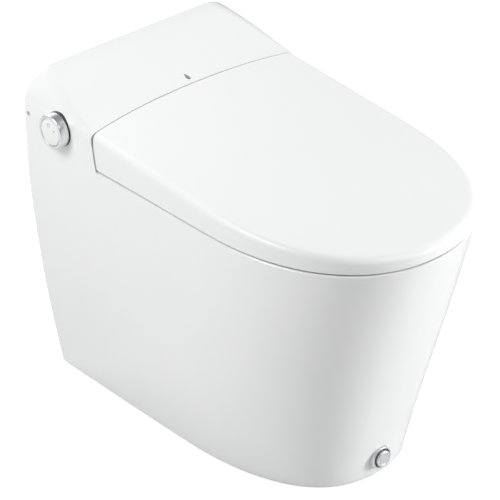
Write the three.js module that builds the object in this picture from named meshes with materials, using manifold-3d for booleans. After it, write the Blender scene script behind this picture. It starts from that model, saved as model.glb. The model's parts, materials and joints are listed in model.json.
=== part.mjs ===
// One-piece electric bidet toilet: skirted ceramic body with a seamless rear hood, warm seat,
// full-cover lid, two-stage wash wand, side control knob and foot flush button.
// Millimetres, +Z up, the front faces -Y, origin on the floor.
import * as THREE from "three";
import { mergeVertices } from "three/addons/utils/BufferGeometryUtils.js";
import Module from "manifold-3d";

const wasm = await Module();
wasm.setup();

// ---------- driving dimensions
const backY = 330; // wall plane
const tipY = -335; // front tip of rim and lid
const rimHalf = 195.5; // half width at the rim
const floorHalf = 152.5;
const floorTipY = -220;
const rimShoulderY = -68; // where the straight sides turn into the rounded front
const floorShoulderY = 50;
const rimZ = 422;
const lidGap = 3; // open line between rim and lid
const seamZ = 481.5; // lid shoulder height at the rear seam
const tipZ = 446; // lid shoulder height at the front
const crown = 8.4; // rise of the lid from its edge to its centreline
const hoodTopZ = 522;
const wall = 13; // ceramic wall
const rearFlare = 6; // the hood is this much wider at the wall, each side
const seamSideY = 175.5; // seam between lid and hood, at the sides and on the centreline
const seamMidY = 186.5;
const seamLean = 7; // the side seam stands this much further forward at the rim
const seamGap = 1.6;
const hingeY = 152;
const hingeZ = 471;
const pinR = 3.5;
const bossR = 6.5;
const clear = 0.35; // gap between touching pieces
const knobY = 251.5; // side knob, on the hood's left wall
const knobZ = 462;
const knobSeatX = -194; // flat bottom of the knob's pocket
const footZ = 36; // foot flush button, on the centreline
const footSeatY = -222; // flat bottom of the foot button's pocket
const plugY = 320; // side cover plug
const plugZ = 461.5;
const markX = 7; // drop mark on the hood
const markY = 203;
const outletY = 126; // soil outlet
const inletX = 110; // water inlet, mirrored by the power inlet
const inletZ = 90;
const turn = Math.PI * 2;

// ---------- solids
function toSolid(geometry) {
  const bare = geometry.index ? geometry.toNonIndexed() : geometry.clone();
  const points = new THREE.BufferGeometry().setAttribute("position", bare.getAttribute("position"));
  const merged = mergeVertices(points, 1e-4);
  const vertProperties = new Float32Array(merged.attributes.position.array);
  const triVerts = new Uint32Array(merged.index.array);
  const made = new wasm.Manifold(new wasm.Mesh({ numProp: 3, vertProperties, triVerts }));
  if (made.volume() > 0) return made;
  for (let i = 0; i < triVerts.length; i += 3) {
    [triVerts[i + 1], triVerts[i + 2]] = [triVerts[i + 2], triVerts[i + 1]];
  }
  return new wasm.Manifold(new wasm.Mesh({ numProp: 3, vertProperties, triVerts }));
}

function toGeometry(solid) {
  const mesh = solid.getMesh();
  const geometry = new THREE.BufferGeometry();
  geometry.setAttribute("position", new THREE.BufferAttribute(new Float32Array(mesh.vertProperties), 3));
  geometry.setIndex(new THREE.BufferAttribute(new Uint32Array(mesh.triVerts), 1));
  geometry.computeVertexNormals();
  return geometry;
}

const join = (first, ...rest) => rest.reduce((sum, next) => sum.add(next), first);
const cut = (first, ...rest) => rest.reduce((left, next) => left.subtract(next), first);

// A closed solid through rings of points (all with the same count), capped with fans at both ends.
function loft(rings) {
  const count = rings[0].length;
  const position = rings.flat().flatMap((p) => [p.x, p.y, p.z]);
  const index = [];
  for (let r = 0; r < rings.length - 1; r++) {
    for (let i = 0; i < count; i++) {
      const a = r * count + i;
      const b = r * count + ((i + 1) % count);
      index.push(a, b, b + count, a, b + count, a + count);
    }
  }
  for (const r of [0, rings.length - 1]) {
    const middle = rings[r].reduce((sum, p) => sum.add(p), new THREE.Vector3()).divideScalar(count);
    const m = position.push(middle.x, middle.y, middle.z) / 3 - 1;
    for (let i = 0; i < count; i++) {
      const a = r * count + i;
      const b = r * count + ((i + 1) % count);
      index.push(...(r === 0 ? [m, b, a] : [m, a, b]));
    }
  }
  const geometry = new THREE.BufferGeometry();
  geometry.setAttribute("position", new THREE.Float32BufferAttribute(position, 3));
  geometry.setIndex(index);
  return toSolid(geometry);
}

function box(x0, x1, y0, y1, z0, z1) {
  const geometry = new THREE.BoxGeometry(x1 - x0, y1 - y0, z1 - z0);
  return toSolid(geometry.translate((x0 + x1) / 2, (y0 + y1) / 2, (z0 + z1) / 2));
}

// A box with rounded vertical edges, and a small chamfer all round its top.
function roundBox(x0, x1, y0, y1, z0, z1, r, bevel = 0) {
  const shape = new THREE.Shape();
  const [u0, u1, v0, v1] = [x0 + bevel, x1 - bevel, y0 + bevel, y1 - bevel];
  shape.moveTo(u0 + r, v0);
  shape.lineTo(u1 - r, v0);
  shape.absarc(u1 - r, v0 + r, r, -turn / 4, 0);
  shape.lineTo(u1, v1 - r);
  shape.absarc(u1 - r, v1 - r, r, 0, turn / 4);
  shape.lineTo(u0 + r, v1);
  shape.absarc(u0 + r, v1 - r, r, turn / 4, turn / 2);
  shape.lineTo(u0, v0 + r);
  shape.absarc(u0 + r, v0 + r, r, turn / 2, turn * 0.75);
  const depth = z1 - z0 - 2 * bevel;
  const edge = { bevelEnabled: bevel > 0, bevelSize: bevel, bevelThickness: bevel, bevelSegments: 1 };
  const geometry = new THREE.ExtrudeGeometry(shape, { depth, curveSegments: 3, ...edge });
  return toSolid(geometry.translate(0, 0, z0 + bevel));
}

// A turned piece: profile of [radius, height] pairs, about the named axis through (x, y, z).
function turned(profile, axis, x, y, z, sides = 20) {
  const geometry = new THREE.LatheGeometry(profile.map(([r, h]) => new THREE.Vector2(r, h)), sides);
  if (axis === "x") geometry.rotateZ(-turn / 4);
  if (axis === "-x") geometry.rotateZ(turn / 4);
  if (axis === "-y") geometry.rotateX(-turn / 2);
  if (axis === "z") geometry.rotateX(turn / 4);
  return toSolid(geometry.translate(x, y, z));
}

const disc = (r, h0, h1) => [[0, h0], [r, h0], [r, h1], [0, h1]];
const tube = (inner, outer, h0, h1) => [[inner, h0], [outer, h0], [outer, h1], [inner, h1], [inner, h0]];

// A round rod along a smooth path.
function rod(points, r, sides = 8, steps = 16) {
  const path = new THREE.CatmullRomCurve3(points.map((p) => new THREE.Vector3(...p)));
  const shape = new THREE.Shape();
  shape.absarc(0, 0, r, 0, turn);
  return toSolid(new THREE.ExtrudeGeometry(shape, { extrudePath: path, steps, curveSegments: sides / 2 }));
}

// A flat plate drawn in the Y-Z plane, from x0 to x1.
function sidePlate(points, x0, x1) {
  const shape = new THREE.Shape(points.map(([y, z]) => new THREE.Vector2(y, z)));
  const geometry = new THREE.ExtrudeGeometry(shape, { depth: x1 - x0, bevelEnabled: false });
  return toSolid(geometry.rotateX(turn / 4).rotateZ(turn / 4).translate(x0, 0, 0));
}

const group = new THREE.Group();
function add(name, solid, finish) {
  const mesh = new THREE.Mesh(toGeometry(solid), new THREE.MeshStandardMaterial(finish));
  mesh.name = name;
  group.add(mesh);
}

const ceramic = { color: 0xf6f7f8, roughness: 0.08, metalness: 0 };
const satinWhite = { color: 0xf4f5f6, roughness: 0.32, metalness: 0 };
const innerWhite = { color: 0xe9eaeb, roughness: 0.45, metalness: 0 };
const chrome = { color: 0xc9ccd0, roughness: 0.12, metalness: 1 };
const steel = { color: 0xa9adb2, roughness: 0.3, metalness: 1 };
const greyPlastic = { color: 0x8d9196, roughness: 0.5, metalness: 0 };
const darkPlastic = { color: 0x2c2e31, roughness: 0.5, metalness: 0 };
const rubber = { color: 0xb9bcc0, roughness: 0.8, metalness: 0 };
const boardGreen = { color: 0x2b5f45, roughness: 0.5, metalness: 0 };
const copper = { color: 0xb8754d, roughness: 0.35, metalness: 1 };
const lensGlow = { color: 0xdfeaf4, roughness: 0.15, metalness: 0 };

// ---------- outlines
const mix = (a, b, t) => a + (b - a) * t;
const ease = (t) => t * t * (3 - 2 * t);
const clampUnit = (t) => Math.min(1, Math.max(0, t));
const frontSteps = 13;

// Plan outline: straight sides from the rear to shoulderY, then a superellipse round the front.
function outline({ half, shoulder, tip, rear, z, powerX = 2.17, powerY = 2.335, flare = 0, lift = null }) {
  const quarter = [];
  for (let i = 0; i <= frontSteps; i++) {
    const a = (i / frontSteps) * (turn / 4);
    const x = half * Math.cos(a) ** (2 / powerX);
    quarter.push([x, shoulder - (shoulder - tip) * Math.sin(a) ** (2 / powerY)]);
  }
  const side = [];
  for (let i = 0; i < 4; i++) {
    const y = mix(rear, shoulder, i / 4);
    side.push([half + flare * clampUnit((y - 60) / (backY - 60)) ** 2, y]);
  }
  const right = [...side, ...quarter];
  const left = right.slice(0, -1).reverse().map(([x, y]) => [-x, y]);
  return [...right, ...left].map(([x, y]) => new THREE.Vector3(x, y, lift ? lift(y) : z));
}

const sideSwell = (t) => Math.sin((turn / 4) * Math.min(1, t / 0.86));
const frontSwell = (t) => t - 0.27 * t * (1 - t) ** 2;

// Outside of the ceramic at height z, moved inwards by inset.
function skirtRing(z, inset = 0, rear = backY) {
  const t = z / rimZ;
  const f = frontSwell(t);
  return outline({
    half: mix(floorHalf, rimHalf, sideSwell(t)) - inset,
    shoulder: mix(floorShoulderY, rimShoulderY, f),
    tip: mix(floorTipY, tipY, f) + inset,
    rear: rear,
    z,
    powerX: mix(2.43, 2.17, t),
    powerY: mix(2.43, 2.335, t),
    flare: rearFlare * ease(clampUnit((t - 0.5) / 0.5)) - 2 * (1 - t),
  });
}

// Corner radii of the hood at the seam and at the back wall.
const seamCorner = 9;
const hoodCornerX = 50;
const hoodCornerZ = 48;

// Cross-section of the hood at y, moved inwards by inset: upright sides, round corners, arched top.
function hoodRing(y, inset = 0, bottom = 380) {
  const s = ease(clampUnit((y - seamSideY) / (backY - seamSideY)));
  const half = rimHalf + rearFlare * clampUnit((y - 60) / (backY - 60)) ** 2 - inset;
  const cornerX = mix(seamCorner, hoodCornerX, s);
  const cornerZ = mix(seamCorner, hoodCornerZ, s);
  const top = mix(seamZ, hoodTopZ, s ** 0.8) - inset;
  const rise = mix(crown, 1, s);
  const right = [[half, bottom], [half, mix(bottom, top - cornerZ, 0.5)]];
  for (let i = 0; i <= 6; i++) {
    const a = (i / 6) * (turn / 4);
    right.push([half - cornerX * (1 - Math.cos(a)), top - cornerZ * (1 - Math.sin(a))]);
  }
  for (let i = 1; i <= 4; i++) right.push([(half - cornerX) * (1 - i / 4), top]);
  const left = right.slice(0, -1).reverse().map(([x, z]) => [-x, z]);
  const arch = (x, z) => z + (z > top - cornerZ ? rise * (1 - (x / half) ** 2) : 0);
  return [...right, ...left].map(([x, z]) => new THREE.Vector3(x, y, arch(x, z)));
}

// Lid shoulder height at y, and the y of the rear seam at (x, z).
const shoulderZ = (y) => mix(tipZ, seamZ, (y - tipY) / (seamSideY - tipY));
function seamY(x, z) {
  const across = 1 - Math.min(1, Math.abs(x) / rimHalf) ** 2.6;
  const lean = seamLean * clampUnit((465 - z) / (465 - rimZ)) ** 1.5;
  return seamSideY + (seamMidY - seamSideY) * across - lean;
}

// Everything in front of the seam. With sweep, the room that the lid's tail needs when it turns is added.
function seamFront(shift, sweep, lowZ) {
  const rings = [];
  for (let i = -7; i <= 7; i++) {
    const x = 33 * i;
    const edgeZ = shoulderZ(seamSideY) + crown * (1 - Math.min(1, Math.abs(x) / rimHalf) ** 2);
    const reach = Math.hypot(seamY(x, edgeZ) - hingeY, edgeZ - hingeZ) + sweep;
    const ring = [new THREE.Vector3(x, -400, lowZ)];
    for (let k = 0; k <= 9; k++) {
      const z = k < 2 ? mix(lowZ, 423, k) : mix(423, 500, (k - 1) / 8);
      const arc = Math.sqrt(Math.max(0, reach ** 2 - (z - hingeZ) ** 2));
      const swept = sweep && z < edgeZ ? hingeY + arc : 0;
      ring.push(new THREE.Vector3(x, Math.max(seamY(x, z) + shift, swept), z));
    }
    ring.push(new THREE.Vector3(x, seamY(x, 560) + shift, 560), new THREE.Vector3(x, -400, 560));
    rings.push(ring);
  }
  return loft(rings);
}

// ---------- ceramic body
const bowlSides = 28;
const bowlHalf = 136;
const bowlMidY = -120;
const bowlLong = 168;
const sumpZ = 212;
const doorHalf = 165; // service door in the back
const doorLowZ = 150;
const doorHighZ = 470;
const wandTilt = (30 * Math.PI) / 180;
const wandBackY = 132;
const wandBackZ = 438;
const trapPath = [[0, -62, 250], [0, -55, 200], [0, -10, 178], [0, 45, 215], [0, 92, 232], [0, 120, 195]];
trapPath.push([0, outletY, 120], [0, outletY, 60], [0, outletY, -20]);

// Turned about the wash wand's line: distances run backwards and up from the line's rear point.
function alongWand(profile, sides = 18) {
  const geometry = new THREE.LatheGeometry(profile.map(([r, h]) => new THREE.Vector2(r, h)), sides);
  return toSolid(geometry.rotateX(wandTilt).translate(0, wandBackY, wandBackZ));
}

// The bowl's inside at height z, moved outwards by grow.
function bowlRing(z, grow = 0) {
  const t = clampUnit((z - sumpZ) / (rimZ - sumpZ));
  const swell = Math.sin((turn / 4) * t) ** 0.8;
  const ring = [];
  for (let i = 0; i < bowlSides; i++) {
    const a = (i / bowlSides) * turn;
    const x = (mix(40, bowlHalf, swell) + grow) * Math.cos(a);
    const y = mix(-70, bowlMidY, swell) + (mix(48, bowlLong, swell) + grow) * Math.sin(a);
    ring.push(new THREE.Vector3(x, y, z));
  }
  return ring;
}

function dropShape(scale) {
  const shape = new THREE.Shape();
  shape.moveTo(0, 7.5 * scale);
  shape.bezierCurveTo(1.2 * scale, 4 * scale, 4.4 * scale, 1.5 * scale, 4.4 * scale, -1.5 * scale);
  shape.absarc(0, -1.5 * scale, 4.4 * scale, 0, -turn / 2, true);
  shape.bezierCurveTo(-4.4 * scale, 1.5 * scale, -1.2 * scale, 4 * scale, 0, 7.5 * scale);
  return shape;
}

function dropPrism(scale, low) {
  const options = { depth: 20, bevelEnabled: false, curveSegments: 6 };
  const geometry = new THREE.ExtrudeGeometry(dropShape(scale), options);
  return toSolid(geometry.translate(markX, markY, low));
}

const skirtLevels = [4, 60, 130, 210, 290, 350, rimZ - 3];
const hoodStations = [166, 182, 204, 228, 252, 276, 298, 316, 326];

function ceramicOutside() {
  const rings = [skirtRing(0, 1.5), ...skirtLevels.map((z) => skirtRing(z)), skirtRing(rimZ, 1.6)];
  const hood = [...hoodStations.map((y) => hoodRing(y)), hoodRing(329, 1.2), hoodRing(backY, 3)];
  return join(loft(rings), loft(hood));
}

const deckLowZ = rimZ - 18;
const bowlSpace = loft([sumpZ, 230, 260, 300, 350, rimZ + 4].map((z) => bowlRing(z)));
const trapSpace = rod(trapPath, 26, 10, 16);
const wandSpace = alongWand(disc(15, -110, 20));
const gasketSeat = turned(disc(52.4, -5, 10), "z", 0, outletY, 0, 28);

// The bowl's outside, and the outside of the trap with its outlet pad, moved outwards by grow.
function basinForm(grow) {
  const levels = [sumpZ - 14 - grow, sumpZ, 250, 310, deckLowZ - clear + grow];
  return loft(levels.map((z) => bowlRing(z, 12 + grow)));
}

function trapForm(grow) {
  const half = 60 + grow;
  const pad = roundBox(-half, half, outletY - half, outletY + half, 0, 16 + grow, 12);
  return join(rod(trapPath, 37 + grow, 10, 16).intersect(box(-half, half, -200, 300, 0, rimZ)), pad);
}

function ceramicBody(outside) {
  const rearIn = backY - 14;
  const inside = loft([-5, 90, 190, 290, deckLowZ].map((z) => skirtRing(z, wall, rearIn)));
  const rib = cut(box(-160, 160, -12, 12, -8, 216), basinForm(clear), trapForm(clear));
  const hollow = cut(inside, rib);
  const bayLimit = loft([140, 190, 240, 290, 350, rimZ, 540].map((z) => skirtRing(z, wall, rearIn)));
  const bay = loft([206, 240, 280, rearIn].map((y) => hoodRing(y, wall, doorLowZ))).intersect(bayLimit);
  const door = box(-doorHalf, doorHalf, rearIn - 8, backY + 10, doorLowZ, doorHighZ);
  const tail = seamFront(seamGap, 1.2, rimZ);
  const openings = [
    turned(disc(28.3, 0, 30), "-x", knobSeatX, knobY, knobZ, 32),
    turned(disc(9, -30, 30), "x", -190, knobY, knobZ),
    turned(disc(18.35, 0, 40), "-y", 0, footSeatY, footZ, 28),
    turned(disc(8, -30, 30), "y", 0, footSeatY, footZ),
    turned(disc(3.2, 0, 20), "-x", -195.5, plugY, plugZ, 16),
    turned(disc(11, -30, 30), "y", inletX, backY, inletZ),
    turned(disc(9, -30, 30), "y", -inletX, backY, inletZ),
    turned(disc(17, -30, 30), "z", 80, 108, rimZ - 10),
    turned(disc(9, -30, 30), "z", -62, 108, rimZ - 10),
    wandSpace,
    dropPrism(1.08, markLowZ),
  ];
  const body = cut(outside, hollow, tail, bay, door, bowlSpace, ...openings).simplify(0.04);
  return body.decompose().sort((a, b) => b.volume() - a.volume())[0];
}

const markLowZ = 492;
const outside = ceramicOutside();
add("ceramic_body", ceramicBody(outside), ceramic);
add("bowl_basin", cut(basinForm(0), bowlSpace, trapSpace, wandSpace), ceramic);
add("trap_way", cut(trapForm(0), basinForm(clear), trapSpace, gasketSeat), ceramic);
add("drop_mark", dropPrism(1, markLowZ + clear).intersect(outside), greyPlastic);

// ---------- lid
const lidHalf = 195;
const lidLowZ = rimZ + lidGap;
const lidEdgeR = 9;
const lidSkin = 3.4;

function lidRing(inset, lift) {
  const scale = 1 - inset / lidHalf;
  const tip = rimShoulderY - scale * (rimShoulderY - tipY - 0.5);
  return outline({ half: lidHalf * scale, shoulder: rimShoulderY, tip, rear: 215, lift });
}

// Lid form, moved inwards by skin: upright skirt, rounded edge, crowned top that rises towards the seam.
function lidForm(skin, lowZ) {
  const radius = lidEdgeR - skin;
  const lift = (inset, drop) => {
    const rho = 1 - inset / lidHalf;
    return (y) => shoulderZ(y) - skin - drop + crown * (1 - rho ** 2);
  };
  const rings = [lidRing(skin, () => lowZ)];
  for (let i = 0; i <= 3; i++) {
    const a = (i / 3) * (turn / 4);
    const inset = skin + radius * (1 - Math.cos(a));
    rings.push(lidRing(inset, lift(inset, radius * (1 - Math.sin(a)))));
  }
  for (const inset of [26, 60, 105, 150, 186]) rings.push(lidRing(inset, lift(inset, 0)));
  return loft(rings);
}

const hingeRod = (r, x0, x1, sides = 16) => turned(disc(r, x0, x1), "x", 0, hingeY, hingeZ, sides);
const pinBore = hingeRod(pinR + 0.3, -200, 200);
const lowCorner = box(-260, 260, hingeY, 260, 400, hingeZ).subtract(hingeRod(47.6, -270, 270, 48));
const lidFront = seamFront(0, 0, 400);
const lidShell = cut(lidForm(0, lidLowZ).intersect(lidFront), lidForm(lidSkin, lidLowZ - 10), lowCorner);
add("lid_outer_shell", lidShell, satinWhite);

const panelTop = lidForm(lidSkin + 0.4, 400);
const panelUnder = lidForm(lidSkin + 2.6, 390);
const panelPlan = loft([400, 520].map((z) => lidRing(24, () => z)));
const panelReach = box(-300, 300, -400, 130, 390, 530);
let lidPanel = panelTop.intersect(panelPlan).intersect(panelReach).subtract(panelUnder);
for (const side of [-1, 1]) {
  const web = [[60, 461], [104, 462], [152, 464.6], [158, 467], [156, 476.5], [128, 475.4], [60, 470.9]];
  const [x0, x1] = side < 0 ? [-175, -161] : [161, 175];
  lidPanel = join(lidPanel, sidePlate(web, x0, x1), hingeRod(bossR, x0, x1));
}
add("lid_inner_panel", lidPanel.subtract(pinBore), innerWhite);
for (const [name, x] of [["lid_bumper_left", -72], ["lid_bumper_right", 72]]) {
  add(name, turned([[0, 0], [7, 0], [8, 1], [8, 4], [0, 4]], "z", x, -262, 442.3, 12), rubber);
}

// ---------- seat
const seatLowZ = 426.9;
const seatInset = 12;
const seatRearY = 56;

function seatRing(inset, z) {
  const half = rimHalf - seatInset - inset;
  const tip = tipY + seatInset + inset;
  return outline({ half, shoulder: rimShoulderY, tip, rear: seatRearY - inset, z });
}

function seatHole(grow, z) {
  const ring = [];
  for (let i = 0; i < 36; i++) {
    const a = (i / 36) * turn;
    const [c, s] = [Math.cos(a), Math.sin(a)];
    const x = Math.sign(c) * (108 + grow) * Math.abs(c) ** 0.86;
    ring.push(new THREE.Vector3(x, -126 + Math.sign(s) * (134 + grow) * Math.abs(s) ** 0.86, z));
  }
  return ring;
}

const seatPlateTopZ = seatLowZ + 4.4;
let seatPlate = loft([seatRing(1, seatLowZ), seatRing(0, seatLowZ + 1), seatRing(0, seatPlateTopZ)]);
seatPlate = seatPlate.subtract(loft([seatHole(0, seatLowZ - 5), seatHole(0, seatPlateTopZ + 5)]));
for (const side of [-1, 1]) {
  const [x0, x1] = side < 0 ? [-158, -143] : [143, 158];
  const armLow = [[58, seatLowZ], [78, seatLowZ], [150, 464.6], [158, 468]];
  const arm = [...armLow, [152, 477.4], [145, 476.5], [58, 441]];
  const tab = box(x0, x1, 40, 60, seatLowZ, seatPlateTopZ);
  seatPlate = join(seatPlate, tab, sidePlate(arm, x0, x1), hingeRod(bossR, x0, x1));
}
add("seat_base_plate", seatPlate.subtract(pinBore), innerWhite);

const seatShellZ = seatPlateTopZ + clear;
const seatEdge = [[0, 0], [0, 4.2], [1.6, 7.4], [5, 9.2], [12, 10]];
const seatTop = seatEdge.map(([inset, rise]) => seatRing(inset, seatShellZ + rise));
const seatMouth = [[0, -4], [0, 4.5], [3, 8.2], [9, 10.6]];
const seatOpen = seatMouth.map(([grow, rise]) => seatHole(grow, seatShellZ + rise));
const heaterRecess = loft([seatRing(20, seatShellZ - 3), seatRing(20, seatShellZ + 2)]).subtract(
  loft([seatHole(20, seatShellZ - 4), seatHole(20, seatShellZ + 3)]),
);
add("seat_upper_shell", cut(loft(seatTop), loft(seatOpen), heaterRecess), satinWhite);
const heater = loft([seatRing(21, seatShellZ + 0.3), seatRing(21, seatShellZ + 1.3)]);
const heaterHole = loft([seatHole(21, seatShellZ - 2), seatHole(21, seatShellZ + 3)]);
add("seat_heater", heater.subtract(heaterHole), copper);
const seatFoot = [[0, 0], [8, 0], [9, 1], [9, 4.1], [0, 4.1]];
for (const [name, side] of [["left", -1], ["right", 1]]) {
  for (const [end, x, y] of [["front", 112, -258], ["rear", 160, -20]]) {
    add(`seat_bumper_${end}_${name}`, turned(seatFoot, "z", side * x, y, rimZ + 0.4, 12), rubber);
  }
}

// ---------- bidet unit on the deck
const unitHalf = 124;
const unitFrontY = 64;
const unitRearY = 144;
const unitTopZ = 461.5;
const unitLowZ = rimZ + clear;
let chassis = roundBox(-136, 136, unitFrontY - 2, unitRearY + 3, unitLowZ, unitLowZ + 3.5, 6);
for (const [x0, x1] of [[-136, -128], [128, 136]]) {
  const earLow = [[112, unitLowZ + 2], [146, unitLowZ + 2], [147, 462]];
  const ear = [...earLow, [157, 467], [151, 478], [143, 473]];
  chassis = join(chassis, sidePlate(ear, x0, x1), hingeRod(7.5, x0, x1));
}
const ductHole = turned(disc(17, -30, 30), "z", 80, 108, rimZ);
const hoseHole = turned(disc(9, -30, 30), "z", -62, 108, rimZ);
const earBore = hingeRod(pinR + 0.15, -140, 140);
add("unit_chassis", cut(chassis, earBore, wandSpace, ductHole, hoseHole), greyPlastic);

const coverLowZ = unitLowZ + 3.5 + clear;
const cover = roundBox(-unitHalf, unitHalf, unitFrontY, unitRearY, coverLowZ, unitTopZ, 14, 4);
const inHalf = unitHalf - 3;
const coverInFront = unitFrontY + 3;
const coverInRear = unitRearY - 3;
const coverIn = roundBox(-inHalf, inHalf, coverInFront, coverInRear, coverLowZ - 9, unitTopZ - 3, 12, 3);
const lensHole = box(-112, -78, unitFrontY - 2, unitFrontY + 6, 436, 446);
const vent = box(62, 98, unitFrontY - 2, unitFrontY + 6, 434, 450);
add("unit_cover", cut(cover, coverIn, lensHole, vent), satinWhite);
add("night_light_lens", box(-111.6, -78.4, unitFrontY - 0.4, unitFrontY + 3.4, 436.4, 445.6), lensGlow);
let grille = box(62.4, 97.6, unitFrontY - 0.2, unitFrontY + 2.6, 434.4, 449.6);
for (let i = 0; i < 4; i++) {
  grille = grille.subtract(box(65, 95, unitFrontY - 2, unitFrontY + 5, 436.2 + 3.2 * i, 437.8 + 3.2 * i));
}
add("dryer_grille", grille, innerWhite);
add("hinge_pin_left", hingeRod(pinR, -177, -127.7), steel);
add("hinge_pin_right", hingeRod(pinR, 127.7, 177), steel);
add("seat_damper", hingeRod(7.5, -127.3, -98), darkPlastic);
add("lid_damper", hingeRod(7.5, 98, 127.3), darkPlastic);

// ---------- wash wand: guide fixed to the unit, tube slides in it, wand slides in the tube
const guideLong = 84;
const guideIn = 10.6;
const guideOut = 13;
const guideCup = [
  [guideIn, -guideLong],
  [guideOut, -guideLong],
  [guideOut, 0],
  [0, 0],
  [0, -3],
  [guideIn, -3],
  [guideIn, -guideLong],
];
add("wand_guide", alongWand(guideCup), greyPlastic);
add("wand_outer_tube", alongWand(tube(8.2, 10.2, -guideLong, -4)), steel);
add("wash_wand", alongWand([[0, -88], [7.8, -88], [7.8, -6], [0, -6]]), satinWhite);
const tipBody = alongWand([[0, -96], [6, -96], [9.4, -94.5], [9.4, -88.3], [0, -88.3]]);
add("wand_tip", tipBody, chrome);

// ---------- rear bay
const panelFlat = roundBox(-doorHalf + 1, doorHalf - 1, 0, doorHighZ - doorLowZ - 2, 0, 3, 10);
add("back_panel", panelFlat.rotate([90, 0, 0]).translate([0, backY - 5, doorLowZ + 1]), innerWhite);
const tankProfile = [[0, 0], [28, 0], [34, 6], [34, 104], [28, 110], [0, 110]];
add("water_heater", turned(tankProfile, "z", -110, 262, 300, 24), steel);
const pumpMotor = turned(disc(20, 0, 46), "x", -30, 262, 330);
add("wash_pump", join(pumpMotor, box(-22, 8, 242, 282, 304, 318)), darkPlastic);
const valveCoil = turned(disc(15, 0, 34), "z", inletX, 274, 204.5);
add("inlet_valve", join(box(inletX - 20, inletX + 20, 256, 292, 170, 205), valveCoil), darkPlastic);
const connector = [[6, 0], [10.5, 0], [10.5, 16], [13.5, 16.5], [13.5, 31], [6, 31], [6, 0]];
add("inlet_connector", turned(connector, "-y", inletX, backY - 2, inletZ, 24), steel);
const supplyPath = [[inletX, 296.4, inletZ], [inletX, 290, inletZ], [inletX, 279, 99]];
supplyPath.push([inletX, 274, 118], [inletX, 274, 145], [inletX, 274, 169.5]);
add("supply_hose", rod(supplyPath, 6, 8, 14), greyPlastic);
const washPath = [[-62, 262, 298.5], [-62, 250, 270], [-62, 190, 290], [-62, 120, 350], [-62, 108, 424]];
add("wash_hose", rod(washPath, 4.5, 8, 18), greyPlastic);

const fanX = 88;
const fanY = 256;
const fanZ = 290;
let fanCase = turned(disc(44, -17, 17), "y", fanX, fanY, fanZ, 24);
fanCase = join(fanCase, box(fanX - 16, fanX + 16, fanY - 17, fanY + 17, fanZ, fanZ + 60));
const fanRoom = turned(disc(40, -14, 14), "y", fanX, fanY, fanZ, 24);
const fanIntake = turned(disc(20, 10, 20), "y", fanX, fanY, fanZ);
const fanOutlet = box(fanX - 13, fanX + 13, fanY - 14, fanY + 14, fanZ, fanZ + 62);
fanCase = cut(fanCase, fanRoom, fanIntake, fanOutlet);
fanCase = join(fanCase, turned(disc(3, -15, -9), "y", fanX, fanY, fanZ, 16));
add("dryer_fan_case", fanCase, greyPlastic);
let impeller = turned([[0, -6], [34, -6], [34, -4], [9, -4], [9, 8], [0, 8]], "y", fanX, fanY, fanZ, 24);
for (let i = 0; i < 12; i++) {
  const a = (i / 12) * turn;
  const blade = new THREE.BoxGeometry(1.4, 16, 14).rotateY(0.5).translate(28, 3.6, 0).rotateY(a);
  impeller = impeller.add(toSolid(blade.translate(fanX, fanY, fanZ)));
}
const impellerBore = turned(disc(3.5, -8, -3), "y", fanX, fanY, fanZ, 16);
add("fan_impeller", impeller.subtract(impellerBore), darkPlastic);
const ductPath = [[fanX, fanY, fanZ + 60.4], [fanX, fanY - 2, 366], [87, 234, 380], [84, 200, 384]];
ductPath.push([80, 150, 384], [80, 118, 390], [80, 108, 406], [80, 108, 424]);
add("dryer_duct", rod(ductPath, 12, 10, 20), greyPlastic);
add("deodoriser", roundBox(-30, 30, 226, 250, 410, 452, 5, 1), greyPlastic);
const boardRelay = box(-130, -110, 238, 246, 200, 220);
const boardCapacitor = box(-100, -84, 238, 250, 226, 246);
add("control_board", join(box(-150, -70, 236, 238, 180, 270), boardRelay, boardCapacitor), boardGreen);
add("power_supply", roundBox(-60, 20, 236, 296, 168, 220, 4, 1.5), darkPlastic);
add("power_gland", turned(disc(8.4, 0, 22), "-y", -inletX, backY - 2, inletZ), darkPlastic);
add("outlet_gasket", turned(tube(38, 52, 0.5, 9.6), "z", 0, outletY, 0, 28), rubber);
for (const [name, side] of [["floor_bracket_left", -1], ["floor_bracket_right", 1]]) {
  const [near, far] = [side * 92, side * 124];
  const foot = box(Math.min(near, far), Math.max(near, far), 200, 240, 0.4, 4);
  const post = box(Math.min(far - side * 4, far), Math.max(far - side * 4, far), 200, 240, 0.4, 36);
  const anchorHole = turned(disc(4.2, -5, 10), "z", side * 104, 220, 0, 16);
  add(name, join(foot, post).subtract(anchorHole), steel);
}

// ---------- side knob
const knobPlate = [[4.5, 0.3], [27.9, 0.3], [27.9, 4.7], [26, 5.7], [4.5, 5.7], [4.5, 0.3]];
add("knob_escutcheon", turned(knobPlate, "-x", knobSeatX, knobY, knobZ, 32), darkPlastic);
const knobOuter = [[0, 6.2], [24.6, 6.2], [26.5, 8], [26.5, 19.4], [25.4, 21]];
const knobInner = [[22.2, 21], [21.2, 20], [21.2, 10], [0, 10]];
const knobShaft = turned(disc(4, -24, 8), "-x", knobSeatX, knobY, knobZ, 16);
const knobCup = turned([...knobOuter, ...knobInner], "-x", knobSeatX, knobY, knobZ, 36);
add("knob_ring", join(knobCup, knobShaft), chrome);
const capProfile = [[0, 12.6], [20.8, 12.6], [20.8, 20.6], [19.6, 21.6], [0, 22.2]];
add("knob_button", turned(capProfile, "-x", knobSeatX, knobY, knobZ, 32), satinWhite);
add("knob_encoder", turned(tube(4.6, 11, 0, 14), "x", -183, knobY, knobZ, 24), darkPlastic);
const plugProfile = [[0, 0], [2.85, 0], [2.85, 4.6], [2.3, 5], [0, 5]];
add("side_plug", turned(plugProfile, "-x", -195.8, plugY, plugZ, 12), greyPlastic);

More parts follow.
